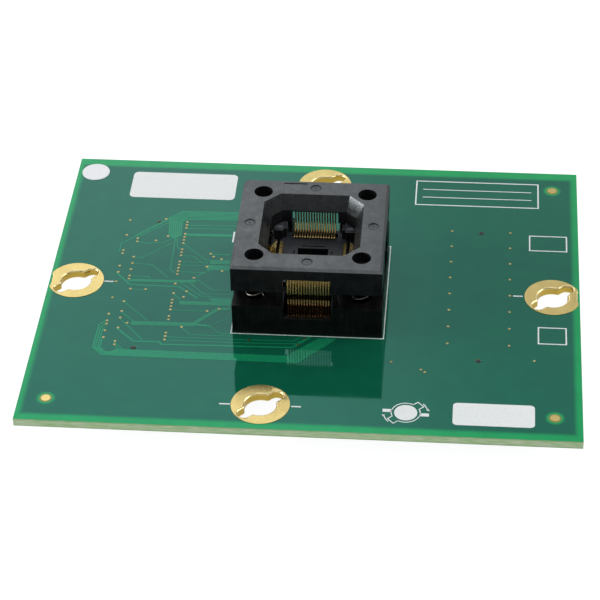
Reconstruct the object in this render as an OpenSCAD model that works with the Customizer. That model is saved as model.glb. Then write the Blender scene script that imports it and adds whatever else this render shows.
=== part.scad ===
// Programming adapter: a press-to-open test socket on a plug-in card.
// The card lies flat, the socket faces up, and the part rests on the two connectors below.

/* [Card] */
// Width of the card, left to right
board_w = 100; // [94:1:130]
// Depth of the card, front to back
board_d = 80; // [78:1:110]
// Thickness of the card
board_t = 1.6; // [1.2:0.1:2.4]

/* [Lock rings] */
// Outer diameter of each plated ring
ring_d = 10.5; // [10.2:0.1:11.4]
// Diameter of the round hole in a ring
lock_hole_d = 5.7; // [5:0.1:7]
// Width of the two slots beside the hole
lock_slot_w = 2.5; // [1.2:0.1:2.8]
// Length across both slots, tip to tip
lock_slot_span = 9.6; // [8:0.1:9.8]
// Turn of the slots from the card's long side
lock_slot_turn = 43; // [0:1:90]
// Thickness of the rings' rims on the card's faces
plating_t = 0.08; // [0.05:0.01:0.15]
// Thickness of the rings' walls in the holes
eyelet_t = 0.2; // [0.18:0.01:0.25]
// Distance from a side ring's middle to the card's end
lock_side_inset = 5.05; // [4.8:0.05:7]
// Gap that the rims keep from the card's edges, where they are cut off straight
ring_trim = 0.3; // [0.1:0.05:0.6]
// Gap between the front or back ring and the card's edge
lock_edge_gap = 1.2; // [0.5:0.1:3]
// Offset of the front ring to the left, which keys the card
lock_key_offset = 6.8; // [4:0.1:14]

/* [Card marks] */
// Diameter of the alignment pads
fiducial_d = 1.7; // [1:0.1:2]
// Thickness of the alignment pads
fiducial_t = 0.05; // [0.03:0.01:0.1]
// Distance of the alignment pads from the card's ends
fiducial_side = 4.9; // [3:0.1:8]
// Distance of the alignment pads from the card's edges
fiducial_edge = 5.9; // [3:0.1:8]
// Diameter of the round sticker in the back left corner
sticker_d = 5.5; // [4:0.1:6]
// Thickness of the sticker
sticker_t = 0.1; // [0.05:0.01:0.2]
// Gap between the sticker and the card's left end
sticker_side_gap = 0.85; // [0.2:0.05:3]
// Gap between the sticker and the card's back edge
sticker_edge_gap = 1.85; // [0.2:0.05:3]

/* [Socket] */
// Side of the square socket
socket_w = 27.5; // [25:0.25:32]
// Height of the socket base
base_h = 6.3; // [6:0.1:6.6]
// Gap between base and cover at rest
cover_gap = 3.4; // [3.2:0.1:3.8]
// Height of the cover
cover_h = 5.45; // [5.2:0.05:6.5]
// Stroke of the cover, pressed down
cover_stroke = 3.0; // [2.4:0.1:3.1]
// Thickness of the outer walls
wall = 1.0; // [0.8:0.05:1.2]
// Thickness of the cover's roof over the levers
cover_roof = 0.95; // [0.7:0.05:1.2]
// Bevel round the cover's top
cover_bevel = 0.45; // [0.2:0.05:0.8]
// Chamfer on the cover's first-pin corner
first_pin_chamfer = 1.15; // [0.6:0.05:1.6]
// Thickness of the base floor under the contacts
floor_t = 1.9; // [1.5:0.1:2.2]
// Height of the base's low outer wall in front of the contacts
sill_h = 3.6; // [3:0.1:4.6]
// Height of the cover's outer wall cut out in front of the contacts
notch_h = 2.9; // [1.5:0.1:3.2]
// Running clearance between the socket's pieces
clearance = 0.1; // [0.06:0.01:0.16]
// Diameter of the two pegs that place the socket on the card
socket_peg_d = 1.6; // [1.2:0.1:2]

/* [Cover opening] */
// Width of the rim round the opening at the top
opening_rim = 4.45; // [4.25:0.05:4.75]
// Width of the rim round the opening at its lower edge
opening_low_rim = 5.85; // [5.75:0.02:5.95]
// Depth of the slanted walls of the opening
opening_depth = 2.85; // [2.6:0.05:3]
// Corner cut of the opening at the top
opening_corner = 2.8; // [2:0.1:3.4]
// Corner cut of the opening at its lower edge
opening_low_corner = 1.9; // [1:0.05:2.2]
// Diameter of the four guide holes on top
guide_d = 3.5; // [2.5:0.1:3.8]
// Depth of the guide holes
guide_depth = 2.2; // [1.2:0.1:2.4]
// Diameter of the round moulding marks
mark_d = 1.8; // [1.2:0.1:2]
// Depth of the moulding marks and of the small panel
mark_depth = 0.12; // [0.05:0.01:0.3]
// Distance of the moulding marks from the cover's sides
mark_inset = 2.35; // [1.6:0.05:3]
// Width of the small sunk panel by the back side
panel_w = 4.4; // [3:0.1:5]
// Depth of the small sunk panel, front to back
panel_d = 2.75; // [2:0.05:3]
// Distance of the panel's middle from the socket's middle, to the left
panel_off = 3.9; // [3.6:0.1:4.2]

/* [Contacts] */
// Contacts on each side
contact_n = 16; // [8:1:16]
// Pitch of the contacts
contact_pitch = 0.5; // [0.46:0.01:0.5]
// Thickness of the contact sheet
contact_t = 0.22; // [0.15:0.01:0.24]
// Distance of the contacts' bend from the socket's sides
pivot_inset = 4.35; // [4.25:0.02:4.45]
// Height of the contacts' bend above the card
pivot_z = 4.9; // [4.8:0.02:5]
// Diameter of the round knuckle at the bend
knuckle_d = 1.0; // [0.8:0.05:1.1]
// Height of the levers above the bend
lever_up = 6.1; // [6:0.02:6.2]
// Lean of the levers outwards from the bend
lever_out = 0.35; // [0.3:0.01:0.4]
// Width of a lever
lever_w = 0.5; // [0.4:0.02:0.56]
// Width of a contact beam
beam_w = 0.56; // [0.4:0.02:0.6]
// Reach of a beam inwards from the bend to its crest
crest_in = 2.7; // [2.6:0.02:2.8]
// Height of the crest above the bend
crest_up = 3.1; // [3:0.02:3.2]
// Reach of the nose inwards from the crest
nose_in = 0.9; // [0.6:0.02:0.9]
// Drop of the nose below the crest
nose_down = 0.25; // [0.2:0.01:0.3]
// Width of the nose
nose_w = 0.5; // [0.4:0.02:0.56]
// Width of a contact's stem
stem_w = 0.9; // [0.7:0.05:1]
// Width of a contact's tail
tail_w = 0.4; // [0.3:0.02:0.42]
// Distance between the two staggered rows of tails
tail_step = 1.3; // [1.1:0.05:1.5]
// Length of the tails below the card
tail_out = 1.2; // [0.9:0.1:2]
// Diameter of the card's holes for the tails
tail_hole_d = 0.6; // [0.56:0.02:0.7]
// Diameter of a solder joint
solder_d = 0.94; // [0.8:0.02:0.96]

/* [Device seat] */
// Height of the seat's foot above the card
seat_z = 5.0; // [4.8:0.05:5.2]
// Side of the square hole in the seat's middle
seat_hole = 5.7; // [4:0.1:6.4]
// Thickness of the corner posts
post_t = 1.75; // [1.2:0.05:1.8]
// Length of each corner post's two arms
post_arm = 2.4; // [2:0.05:2.6]
// Height of the corner posts above the seat
post_h = 2.6; // [1.8:0.1:2.8]
// Length of the thin grooves beside the hole
groove_l = 4.1; // [3:0.1:5]
// Width of the thin grooves
groove_w = 0.3; // [0.2:0.02:0.4]

/* [Springs] */
// Outer diameter of a spring
spring_d = 3.6; // [3.2:0.05:3.7]
// Thickness of the spring wire
spring_wire = 0.42; // [0.3:0.02:0.5]
// Turns between a spring's closed ends
spring_turns = 3.5; // [3:0.5:5]
// Distance of the springs from the socket's sides
spring_inset = 4.0; // [3.9:0.05:4.1]
// Height of the springs' seats above the card
spring_foot = 2.0; // [1.6:0.1:2.4]
// Depth of the springs' pockets in the cover
spring_pocket = 2.4; // [1.8:0.1:2.4]

/* [Underside connectors] */
// Height of a connector, which the card stands on
conn_h = 5.0; // [4.6:0.1:8]
// Width of a connector
conn_w = 8.0; // [7.6:0.1:9.2]
// Length of a connector
conn_l = 42; // [40:1:48]
// Distance of the connectors' middle from the card's ends
conn_inset = 18.6; // [16:0.1:24]
// Thickness of a connector's side walls
conn_wall = 0.9; // [0.7:0.05:1.1]
// Thickness of a connector's end walls
conn_end = 1.5; // [1.2:0.1:1.6]
// Thickness of the connector's floor, next to the card
conn_floor = 0.55; // [0.4:0.05:0.7]
// Contacts in each row of a connector
conn_n = 34; // [20:1:36]
// Pitch of the connector contacts
conn_pitch = 1.0; // [0.8:0.05:1]
// Thickness of the connector contacts
conn_leaf = 0.2; // [0.15:0.01:0.24]
// Width of the connector contacts
conn_leaf_w = 0.4; // [0.3:0.02:0.5]
// Depth of the connector contacts behind the open face
conn_recess = 1.0; // [0.6:0.1:1.4]
// Reach of the soldered feet beyond the connector
conn_foot = 1.3; // [0.8:0.1:1.6]
// Diameter of the connector's pegs
peg_d = 1.0; // [0.8:0.05:1.1]
// Distance between the two pegs of a connector
peg_span = 38.5; // [37.5:0.1:39]

/* [Hidden] */
$fn = 48;
// Length past everything, and reach of a cut beyond a face
far = 200;
over = 1;

// Heights of the card, from the face that it stands on
board_under = conn_h;
board_top = conn_h + board_t;

// Places of the lock rings, alignment pads and sticker on the card
lock_side_x = board_w / 2 - lock_side_inset;
lock_edge_y = board_d / 2 - lock_edge_gap - ring_d / 2;
fiducial_x = board_w / 2 - fiducial_side;
fiducial_y = board_d / 2 - fiducial_edge;
sticker_x = sticker_side_gap + sticker_d / 2 - board_w / 2;
sticker_y = board_d / 2 - sticker_edge_gap - sticker_d / 2;

// Heights and half widths of the socket, from the card's top and the socket's middle
half = socket_w / 2;
wall_in = half - wall;
cover_z = base_h + cover_gap;
cover_top = cover_z + cover_h;
opening_r = half - opening_rim;
opening_low_r = half - opening_low_rim;
opening_low_z = cover_top - opening_depth;
pocket_z = cover_top - cover_roof;
spring_at = half - spring_inset;
spring_bore_d = spring_d + 4 * clearance;
spring_head = cover_z + spring_pocket;

// Turning points of a contact, as distance from the middle and height above the card
pivot_r = half - pivot_inset;
pivot = [pivot_r, pivot_z];
lever_tip = pivot + [lever_out, lever_up];
crest = pivot + [-crest_in, crest_up];
nose = crest + [-nose_in, -nose_down];
row_half = (contact_n - 1) * contact_pitch / 2;
row_gap = 0.6;
window_half = row_half + row_gap;
root_z = 0.3;
root_h = 0.6;
root_end = 0.15;
root_in = pivot_r - stem_w / 2;
root_out = pivot_r + tail_step + tail_w / 2 + root_end;
slot_gap = 0.02;
cup_drop = 0.3;
cup_gap = clearance / 2;

// Slant under the cover that pushes the levers outwards
cam_gap = 0.5;
cam_lip = 0.75;
cam_slope = 0.6875;
cam_r = lever_tip[0] - lever_w / 2;
cam_z = lever_tip[1] + cam_gap;
cam_low_r = opening_low_r + cam_lip;
cam_top_r = cam_r + cam_slope * (pocket_z - cam_z);

// Ribs that flank each row of contacts
rib_off = 1.1;
rib_gap = 0.25;
rib_w = 0.8;
rib_in = pivot_r + rib_off;
rib_half = window_half + rib_gap;
rib_out = wall_in - 1.5 * clearance;
rib_h = cover_gap - 3 * clearance;
rib_pocket_z = base_h + rib_h + cover_stroke + 4 * clearance;

// Hooks of the cover and their tracks in the base
hook_gap = 0.8;
hook_w = 1.8;
hook_mid = rib_half + rib_w + hook_gap + hook_w / 2;
hook_barb = 0.6;
hook_z = 4.2;
hook_h = 1.1;
hook_catch = hook_z + hook_h;

// Seat for the device, inside the base
trough_in = pivot_r - knuckle_d;
seat_r = trough_in - clearance;
seat_corner = 0.9;
seat_top = nose[1] - nose_w / 2 - clearance;
seat_slope_gap = 0.3;
seat_slope_r = crest[0] - seat_slope_gap;
seat_lip = 0.2;
post_out = opening_low_r - 3 * clearance;
post_in = post_out - post_t;
post_cut = 2 * opening_low_r - opening_low_corner - 3 * clearance;
post_lead = 0.35;
groove_gap = 0.7;
groove_at = seat_hole / 2 + groove_gap;
groove_depth = 0.4;

// Places of the connectors on the card, and of their contacts from the connector's middle
conn_at = board_w / 2 - conn_inset;
conn_in = conn_w / 2 - conn_wall;
conn_foot_gap = conn_leaf + clearance / 2;
conn_slit = 0.5;
conn_bump = 0.35;
conn_row = (conn_n - 1) * conn_pitch / 2;
peg_hole_d = peg_d + clearance;
socket_peg_hole_d = socket_peg_d + clearance;

// Solder round a tail's tip, and spacing of a spring's closed turns in wire thicknesses
solder_skin = 0.03;
coil_close = 1.1;

// Points of a straight limb of even width between two points
function limb(a, b, w) =
  let (along = b - a, out = [-along[1], along[0]] / norm(along) * w / 2)
  [a + out, a - out, b - out, b + out];

// Distance of a contact's tail from the socket's middle, staggered along the row
function tail_r(i) = pivot_r + (i % 2) * tail_step;

// Height of the spring's wire after some turns, close-wound at both ends
function coil_z(turn, length) =
  let (
    close = spring_wire * coil_close,
    pitch = (length - spring_wire - 2 * close) / spring_turns,
    open = min(max(turn - 1, 0), spring_turns)
  )
  spring_wire / 2 + close * (turn - open) + pitch * open;

// Ring of points round the spring's wire after some turns
function coil_ring(turn, length, sides) = [
  for (k = [0:sides - 1])
    let (
      r = (spring_d - spring_wire) / 2 + spring_wire / 2 * cos(360 * k / sides),
      z = coil_z(turn, length) + spring_wire / 2 * sin(360 * k / sides)
    )
    [r * cos(360 * turn), r * sin(360 * turn), z]
];

module on_card() translate([0, 0, board_top]) children();

module on_sides() for (turn = [0:90:270]) rotate([0, 0, turn]) children();

module at_corners(x, y) for (sx = [-1, 1], sy = [-1, 1]) translate([sx * x, sy * y, 0]) children();

module disc(at, d) translate(at) circle(d = d);

// Solid with a given outline in distance and height, along the side that faces +X
module along_side(length) rotate([90, 0, 0]) linear_extrude(length, center = true) children();

// Copies of a thin sheet outline at the contacts of the side that faces +X
module contact_row(odd)
  for (i = [0:contact_n - 1])
    if (i % 2 == odd) translate([0, i * contact_pitch - row_half, 0]) along_side(contact_t) children();

// Lock hole of a height: a round hole with two slots, grown by the eyelet's wall where asked
module lock_hole(h, grow = 0) {
  cylinder(d = lock_hole_d + 2 * grow, h = h);
  rotate(lock_slot_turn) intersection() {
    cylinder(d = lock_slot_span + 2 * grow, h = h);
    translate([-far / 2, -lock_slot_w / 2 - grow, -over]) cube([far, lock_slot_w + 2 * grow, h + 2 * over]);
  }
}

// Rim of a plated ring, cut off straight where it comes near the card's edge
module lock_rim(x, y)
  intersection() {
    cylinder(d = ring_d, h = plating_t);
    translate([ring_trim - board_w / 2 - x, ring_trim - board_d / 2 - y, -over])
      cube([board_w - 2 * ring_trim, board_d - 2 * ring_trim, plating_t + 2 * over]);
  }

module lock_places() {
  for (s = [-1, 1]) translate([s * lock_side_x, 0, 0]) children();
  translate([0, lock_edge_y, 0]) children();
  translate([-lock_key_offset, -lock_edge_y, 0]) children();
}

module tail_places() on_sides() for (i = [0:contact_n - 1])
  translate([tail_r(i), i * contact_pitch - row_half, 0]) children();

module peg_places() at_corners(conn_at, peg_span / 2) children();

module socket_peg_places() for (s = [-1, 1]) translate([s * spring_at, s * spring_at, 0]) children();

module circuit_board()
  color("darkgreen") translate([0, 0, board_under]) difference() {
    translate([-board_w / 2, -board_d / 2, 0]) cube([board_w, board_d, board_t]);
    translate([0, 0, -board_t]) lock_places() lock_hole(3 * board_t, eyelet_t);
    translate([0, 0, -board_t]) {
      tail_places() cylinder(d = tail_hole_d, h = 3 * board_t);
      peg_places() cylinder(d = peg_hole_d, h = 3 * board_t);
      socket_peg_places() cylinder(d = socket_peg_hole_d, h = 3 * board_t);
    }
  }

// Plated eyelet of a lock hole: a rim on both faces of the card and the wall of the hole
module lock_ring(x, y)
  color("gold") translate([x, y, board_under]) difference() {
    union() {
      for (z = [-plating_t, board_t]) translate([0, 0, z]) lock_rim(x, y);
      lock_hole(board_t, eyelet_t);
    }
    translate([0, 0, -board_t]) lock_hole(3 * board_t);
  }

module alignment_pads()
  color("gold") on_card() {
    translate([fiducial_x, fiducial_y, 0]) cylinder(d = fiducial_d, h = fiducial_t);
    for (s = [-1, 1]) translate([s * fiducial_x, -fiducial_y, 0])
      cylinder(d = fiducial_d, h = fiducial_t);
  }

module inspection_sticker()
  color("white") on_card() translate([sticker_x, sticker_y, 0]) cylinder(d = sticker_d, h = sticker_t);

// Track for one of the cover's hooks, in the side that faces +X
module hook_track() {
  floor_z = hook_z - cover_stroke - 4 * clearance;
  along_side(hook_w + 2 * clearance) {
    translate([wall_in - clearance, floor_z]) square(far);
    translate([wall_in - hook_barb - clearance, floor_z]) square([far, hook_catch + clearance - floor_z]);
  }
}

module seat_outline(r) intersection() {
  square(2 * r, center = true);
  rotate(45) square(sqrt(2) * (2 * r - seat_corner), center = true);
}

module socket_base()
  color("dimgray") on_card() {
    difference() {
      translate([-half, -half, 0]) cube([socket_w, socket_w, base_h]);
      translate([0, 0, seat_z]) linear_extrude(far) seat_outline(trough_in);
      translate([0, 0, -over]) linear_extrude(far) square(seat_hole, center = true);
      on_sides() {
        along_side(2 * window_half) {
          translate([trough_in, floor_t]) square([wall_in - trough_in, far]);
          translate([wall_in, sill_h]) square(far);
        }
        for (i = [0:contact_n - 1])
          translate([root_in - clearance, i * contact_pitch - row_half - contact_t / 2 - slot_gap, -over])
            cube([root_out - root_in + 2 * clearance, contact_t + 2 * slot_gap, far]);
      }
      at_corners(spring_at, spring_at) translate([0, 0, spring_foot]) cylinder(d = spring_bore_d, h = far);
      for (turn = [0, 180], s = [-1, 1]) rotate([0, 0, turn]) translate([0, s * hook_mid, 0]) hook_track();
    }
    on_sides() for (s = [-1, 1]) translate([rib_in, s * (rib_half + rib_w / 2) - rib_w / 2, floor_t])
      cube([rib_out - rib_in, rib_w, base_h + rib_h - floor_t]);
    socket_peg_places() translate([0, 0, -board_t]) cylinder(d = socket_peg_d, h = board_t);
  }

// Room that the pressed cover's opening leaves for the seat and its posts
module post_bounds() intersection() {
  square(2 * post_out, center = true);
  rotate(45) square(sqrt(2) * post_cut, center = true);
}

// Corner post that guides a device, in the corner of +X and +Y
module corner_post() {
  post_start = post_out - post_arm;
  post_top = seat_top + post_h;
  intersection() {
    difference() {
      translate([post_start, post_start, seat_z]) cube([post_arm, post_arm, post_top - seat_z]);
      translate([0, 0, seat_top]) linear_extrude(far) square(post_in);
      for (swap = [0, 1]) mirror([swap, -swap, 0])
        along_side(far)
          polygon([[post_in - over, post_top + over], [post_in - over, post_top - post_lead],
                   [post_in, post_top - post_lead], [post_in + post_lead + over, post_top + over]]);
    }
    linear_extrude(far) post_bounds();
  }
}

module device_seat()
  color("slategray") on_card() {
    difference() {
      union() {
        translate([0, 0, seat_z]) linear_extrude(base_h - clearance - seat_z) seat_outline(seat_r);
        translate([0, 0, seat_z]) linear_extrude(seat_top - seat_z) post_bounds();
      }
      translate([0, 0, seat_z - over]) linear_extrude(far) square(seat_hole, center = true);
      on_sides() {
        along_side(2 * window_half)
          polygon([[seat_slope_r, seat_top], [seat_r, seat_z + seat_lip], [far, seat_z + seat_lip],
                   [far, far], [seat_slope_r, far]]);
        translate([groove_at, 0, seat_top - groove_depth]) linear_extrude(far)
          square([groove_w, groove_l], center = true);
      }
    }
    on_sides() corner_post();
  }

// Octagonal funnel of the cover's opening, with straight walls below its slanted ones
module opening() {
  sides = [opening_r, opening_low_r];
  corners = [2 * opening_r - opening_corner, 2 * opening_low_r - opening_low_corner] / sqrt(2);
  intersection_for(turn = [0:45:135]) {
    r = turn % 90 == 0 ? sides : corners;
    mouth = r[0] + over * (r[0] - r[1]) / opening_depth;
    rotate([0, 0, turn]) along_side(far)
      polygon([[-r[1], 0], [r[1], 0], [r[1], opening_low_z], [mouth, cover_top + over],
               [-mouth, cover_top + over], [-r[1], opening_low_z]]);
  }
}

// Space under the cover for one row of levers, on the side that faces +X
module lever_pocket() {
  along_side(2 * window_half) {
    polygon([[opening_low_r - over, 0], [opening_low_r - over, opening_low_z],
             [opening_low_r, opening_low_z], [cam_low_r, cam_z], [cam_r, cam_z],
             [cam_top_r, pocket_z], [wall_in, pocket_z], [wall_in, 0]]);
    translate([wall_in, 0]) square([far, cover_z + notch_h]);
  }
  along_side(2 * (rib_half + rib_w + 2 * clearance))
    translate([rib_in - 2 * clearance, 0]) square([wall_in - rib_in + 2 * clearance, rib_pocket_z]);
}

module cover_hook()
  along_side(hook_w)
    polygon([[half, cover_z + over], [half, hook_z], [wall_in, hook_z],
             [wall_in - hook_barb, hook_z + hook_barb], [wall_in - hook_barb, hook_catch],
             [wall_in, hook_catch], [wall_in, cover_z + over]]);

module socket_cover()
  color("gray") on_card() {
    difference() {
      translate([-half, -half, cover_z]) cube([socket_w, socket_w, cover_h]);
      opening();
      on_sides() {
        lever_pocket();
        translate([half, 0, cover_top]) rotate([0, 45, 0])
          cube([sqrt(2) * cover_bevel, far, sqrt(2) * cover_bevel], center = true);
        translate([half - mark_inset, 0, cover_top - mark_depth]) cylinder(d = mark_d, h = far);
      }
      at_corners(spring_at, spring_at) {
        translate([0, 0, cover_top - guide_depth]) cylinder(d = guide_d, h = far);
        translate([0, 0, spring_head - far]) cylinder(d = spring_bore_d, h = far);
      }
      translate([-half, half, 0]) rotate([0, 0, 45])
        cube([sqrt(2) * first_pin_chamfer, sqrt(2) * first_pin_chamfer, far], center = true);
      translate([-panel_off - panel_w / 2, half - mark_inset - panel_d / 2, cover_top - mark_depth])
        cube([panel_w, panel_d, far]);
    }
    for (turn = [0, 180], s = [-1, 1]) rotate([0, 0, turn]) translate([0, s * hook_mid, 0]) cover_hook();
  }

// Fixed half of a contact: the tail, the root bar in the base and the stem up to the bend
module stem_outline(odd)
  difference() {
    union() {
      translate([root_in, root_z]) square([stem_w, pivot_z - cup_drop - root_z]);
      translate([root_in, root_z]) square([root_out - root_in, root_h]);
      translate([tail_r(odd) - tail_w / 2, -board_t - tail_out])
        square([tail_w, board_t + tail_out + root_z + root_h]);
    }
    disc(pivot, knuckle_d + 2 * cup_gap);
  }

module contact_stems(turn)
  color("goldenrod") on_card() rotate([0, 0, turn]) for (odd = [0, 1]) contact_row(odd) stem_outline(odd);

// Moving half of a contact: the knuckle, the lever up to the cover and the beam in to the nose
module arm_outline() {
  disc(pivot, knuckle_d);
  polygon(limb(pivot, lever_tip, lever_w));
  disc(lever_tip, lever_w);
  polygon(limb(pivot, crest, beam_w));
  disc(crest, beam_w);
  polygon(limb(crest, nose, nose_w));
  disc(nose, nose_w);
}

module contact_arms(turn)
  color("gold") on_card() rotate([0, 0, turn]) for (odd = [0, 1]) contact_row(odd) arm_outline();

module solder_joints(turn)
  color("silver") translate([0, 0, board_under]) rotate([0, 0, turn])
    for (i = [0:contact_n - 1])
      translate([tail_r(i), i * contact_pitch - row_half, -tail_out / 2]) difference() {
        cylinder(d1 = norm([tail_w, contact_t]) + 2 * solder_skin, d2 = solder_d, h = tail_out / 2);
        cube([tail_w, contact_t, 3 * tail_out], center = true);
      }

// Round-wire spring, standing on its seat in the base
module spring(sx, sy) {
  sides = 6;
  steps = 16;
  length = spring_head - spring_foot;
  rings = (spring_turns + 2) * steps;
  points = [for (i = [0:rings]) each coil_ring(i / steps, length, sides)];
  skin = [for (i = [0:rings - 1], k = [0:sides - 1]) let (n = (k + 1) % sides)
    [i * sides + k, i * sides + n, (i + 1) * sides + n, (i + 1) * sides + k]];
  ends = [[for (k = [sides - 1:-1:0]) k], [for (k = [0:sides - 1]) rings * sides + k]];
  color("lightgray") on_card() translate([sx * spring_at, sy * spring_at, spring_foot])
    polyhedron(points, concat(skin, ends));
}

module connector_housing(side)
  color("black") translate([side * conn_at, 0, 0]) {
    difference() {
      translate([-conn_w / 2, -conn_l / 2, 0]) cube([conn_w, conn_l, conn_h - conn_foot_gap]);
      translate([-conn_in, conn_end - conn_l / 2, -over])
        cube([2 * conn_in, conn_l - 2 * conn_end, conn_h - conn_foot_gap - conn_floor + over]);
      for (s = [-1, 1]) translate([s * (conn_in - conn_slit / 2), 0, 0])
        linear_extrude(far) square([conn_slit, 2 * conn_row + conn_pitch], center = true);
    }
    for (s = [-1, 1]) translate([0, s * peg_span / 2, conn_h - conn_foot_gap - conn_floor]) {
      cylinder(d = peg_d, h = conn_floor + conn_foot_gap + board_t);
      cylinder(d = 2 * peg_d, h = conn_floor + conn_foot_gap);
    }
  }

// Leaf on the connector's inner wall, with a foot out to the card's pads
module leaf_outline() {
  foot_z = conn_h - conn_leaf;
  inner = conn_in - conn_leaf;
  bump_z = conn_recess + (foot_z - conn_recess) / 3;
  difference() {
    polygon([[conn_in, conn_recess], [inner, conn_recess], [inner - conn_bump, bump_z],
             [inner, foot_z - conn_floor - conn_leaf], [inner, conn_h], [conn_w / 2 + conn_foot, conn_h],
             [conn_w / 2 + conn_foot, foot_z], [conn_in, foot_z]]);
    polygon([[conn_in, conn_recess - over], [conn_in, foot_z - conn_floor - conn_leaf],
             [inner - conn_bump + conn_leaf, bump_z], [conn_in, conn_recess]]);
  }
}

module connector_contacts(side, row)
  color("gold") translate([side * conn_at, 0, 0]) mirror([row < 0 ? 1 : 0, 0, 0])
    for (i = [0:conn_n - 1]) translate([0, i * conn_pitch - conn_row, 0])
      along_side(conn_leaf_w) leaf_outline();

circuit_board();
lock_ring(-lock_side_x, 0);  // lock_ring_left
lock_ring(lock_side_x, 0);  // lock_ring_right
lock_ring(0, lock_edge_y);  // lock_ring_back
lock_ring(-lock_key_offset, -lock_edge_y);  // lock_ring_front
alignment_pads();
inspection_sticker();
socket_base();
device_seat();
socket_cover();
contact_stems(0);  // contact_stems_right
contact_stems(90);  // contact_stems_back
contact_stems(180);  // contact_stems_left
contact_stems(270);  // contact_stems_front
contact_arms(0);  // contact_arms_right
contact_arms(90);  // contact_arms_back
contact_arms(180);  // contact_arms_left
contact_arms(270);  // contact_arms_front
solder_joints(0);  // solder_joints_right
solder_joints(90);  // solder_joints_back
solder_joints(180);  // solder_joints_left
solder_joints(270);  // solder_joints_front
spring(-1, -1);  // spring_front_left
spring(1, -1);  // spring_front_right
spring(-1, 1);  // spring_back_left
spring(1, 1);  // spring_back_right
connector_housing(-1);  // connector_housing_left
connector_housing(1);  // connector_housing_right
connector_contacts(-1, -1);  // connector_contacts_left_outer
connector_contacts(-1, 1);  // connector_contacts_left_inner
connector_contacts(1, -1);  // connector_contacts_right_inner
connector_contacts(1, 1);  // connector_contacts_right_outer
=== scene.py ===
import math

import bmesh
import bpy
from mathutils import Matrix, Vector


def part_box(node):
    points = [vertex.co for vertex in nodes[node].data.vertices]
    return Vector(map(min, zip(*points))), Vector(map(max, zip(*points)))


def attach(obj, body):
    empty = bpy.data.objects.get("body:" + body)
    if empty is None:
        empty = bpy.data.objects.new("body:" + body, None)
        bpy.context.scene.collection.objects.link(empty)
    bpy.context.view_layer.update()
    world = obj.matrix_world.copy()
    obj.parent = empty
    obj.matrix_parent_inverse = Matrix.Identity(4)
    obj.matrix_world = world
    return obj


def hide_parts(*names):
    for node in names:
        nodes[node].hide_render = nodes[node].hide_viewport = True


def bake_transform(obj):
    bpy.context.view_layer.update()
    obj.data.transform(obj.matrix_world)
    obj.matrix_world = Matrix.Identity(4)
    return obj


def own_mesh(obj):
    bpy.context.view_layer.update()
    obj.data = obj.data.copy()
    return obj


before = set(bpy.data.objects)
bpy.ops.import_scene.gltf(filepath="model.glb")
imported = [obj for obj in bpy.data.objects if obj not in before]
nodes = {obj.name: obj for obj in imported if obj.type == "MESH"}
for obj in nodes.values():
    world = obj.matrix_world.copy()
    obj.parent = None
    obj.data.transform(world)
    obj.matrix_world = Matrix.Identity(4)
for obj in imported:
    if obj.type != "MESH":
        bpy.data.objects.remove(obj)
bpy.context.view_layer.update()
scene = bpy.context.scene
mm = 0.001
weldGap = 0.002 * mm  # points closer than this are one

# Faces of the card, which carry most of the added pieces
cardLow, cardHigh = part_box("circuit_board")
cardTop = cardHigh.z
cardUnder = cardLow.z
print("frame loaded:", len(nodes), "nodes, card top at", round(cardTop / mm, 2), "mm")


# Short forms for shader trees
noiseLow, noiseHigh = 0.3, 0.7  # most values of a noise lie between these


def newNode(tree, kind, settings=None, values=None):
    node = tree.nodes.new(kind)
    for name, value in (settings or {}).items():
        setattr(node, name, value)
    for name, value in (values or {}).items():
        feed(tree, node.inputs[name], value)
    return node


def feed(tree, socket, value):  # a link from another node, or a plain value
    if isinstance(value, bpy.types.NodeSocket):
        tree.links.new(value, socket)
    else:
        socket.default_value = value


def calc(tree, operation, first, second=0.0):
    node = newNode(tree, "ShaderNodeMath", {"operation": operation})
    feed(tree, node.inputs[0], first)
    feed(tree, node.inputs[1], second)
    return node.outputs[0]


def times(tree, first, second):
    return calc(tree, "MULTIPLY", first, second)


def ease(tree, value, low, high, toLow=0.0, toHigh=1.0):  # smooth step between two values
    settings = {"interpolation_type": "SMOOTHSTEP"}
    values = {"Value": value, "From Min": low, "From Max": high, "To Min": toLow, "To Max": toHigh}
    return newNode(tree, "ShaderNodeMapRange", settings, values).outputs["Result"]


def spread(tree, value, low, high):  # stretches a noise value over a range
    values = {"Value": value, "From Min": noiseLow, "From Max": noiseHigh, "To Min": low, "To Max": high}
    return newNode(tree, "ShaderNodeMapRange", {"clamp": True}, values).outputs["Result"]


def mixColour(tree, factor, first, second):
    node = newNode(tree, "ShaderNodeMix", {"data_type": "RGBA"})
    feed(tree, node.inputs["Factor"], factor)
    feed(tree, node.inputs[6], first)
    feed(tree, node.inputs[7], second)
    return node.outputs[2]


def noise(tree, place, scale, detail=2.0):
    values = {"Vector": place, "Scale": scale, "Detail": detail}
    return newNode(tree, "ShaderNodeTexNoise", None, values).outputs["Fac"]


def stretched(tree, place, scale, turn=(0, 0, 0)):
    values = {"Vector": place, "Scale": scale, "Rotation": turn}
    return newNode(tree, "ShaderNodeMapping", None, values).outputs["Vector"]


def objectPlace(tree):
    return newNode(tree, "ShaderNodeTexCoord").outputs["Object"]


def axes(tree, vector):  # the three parts of a vector
    return newNode(tree, "ShaderNodeSeparateXYZ", None, {"Vector": vector}).outputs


def gapTo(tree, place, centre):
    values = {0: place, 1: centre}
    return newNode(tree, "ShaderNodeVectorMath", {"operation": "DISTANCE"}, values).outputs["Value"]


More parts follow.
